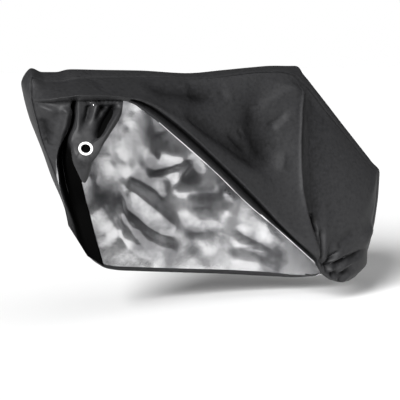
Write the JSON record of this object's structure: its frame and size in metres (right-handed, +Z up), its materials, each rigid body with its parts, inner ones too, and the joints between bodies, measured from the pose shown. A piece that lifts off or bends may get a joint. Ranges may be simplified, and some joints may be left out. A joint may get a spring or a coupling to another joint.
{
  "type": "bicycle cover",
  "caption": "Hollow cloth cover hanging over a bicycle, open below, one side lifted from the eave to a gathered rear corner, with a lock eyelet in the tucked front corner.",
  "frame": {"origin": "under the middle of the cover's top, where the bicycle that it covers holds it up", "axes": "+X to the rear of the cover, -Y to the side whose hem is lifted, +Z up"},
  "size_m": [2.006, 0.6638, 1.1215],
  "materials": {
    "side_cloth_near": "matt black woven polyester, silver coated inside",
    "side_cloth_far": "matt black woven polyester, silver coated inside",
    "strip_cloth": "matt black woven polyester, silver coated inside",
    "corner_cloth": "matt black woven polyester, silver coated inside",
    "eyelet_plastic": "smooth white plastic"
  },
  "bodies": {
    "root": {"near_side": "side_cloth_near", "far_side": "side_cloth_far", "centre_strip": "strip_cloth", "lock_corner": "corner_cloth", "eyelet": "eyelet_plastic"}
  },
  "joints": []
}
